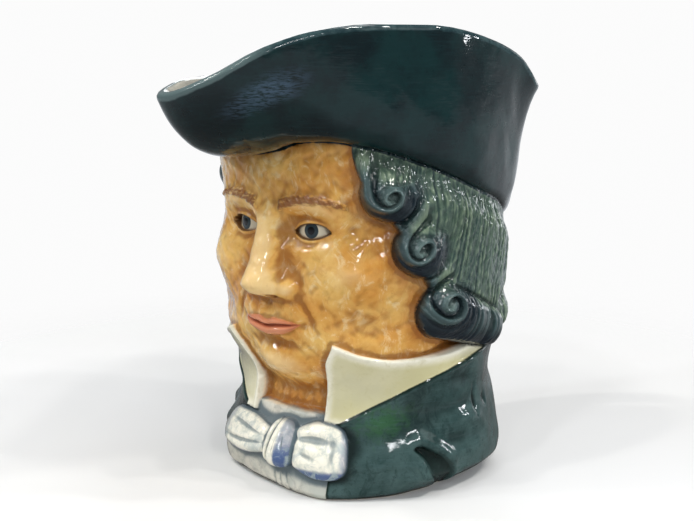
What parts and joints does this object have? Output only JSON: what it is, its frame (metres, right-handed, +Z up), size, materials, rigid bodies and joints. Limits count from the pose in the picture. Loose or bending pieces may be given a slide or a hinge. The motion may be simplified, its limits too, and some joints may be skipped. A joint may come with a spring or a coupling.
{
  "type": "character jug",
  "caption": "Glazed pottery jug shaped as a head in a cocked hat, with curled wig, wing collar, tied bow and a loop handle.",
  "frame": {"origin": "middle of the bounding box at the level of the foot ring, on the surface the jug stands on", "axes": "+Z up, the face looks along -Y, the handle is at +Y, +X is the figure's own left"},
  "size_m": [0.1188, 0.1793, 0.1651],
  "materials": {
    "glazed_earthenware": "glossy clear glaze over hand-painted underglaze colours: dark green hat and coat, grey-green hair, ochre skin, cream collar, blue and cream bow"
  },
  "bodies": {
    "root": {"jug": "glazed_earthenware"}
  },
  "joints": []
}
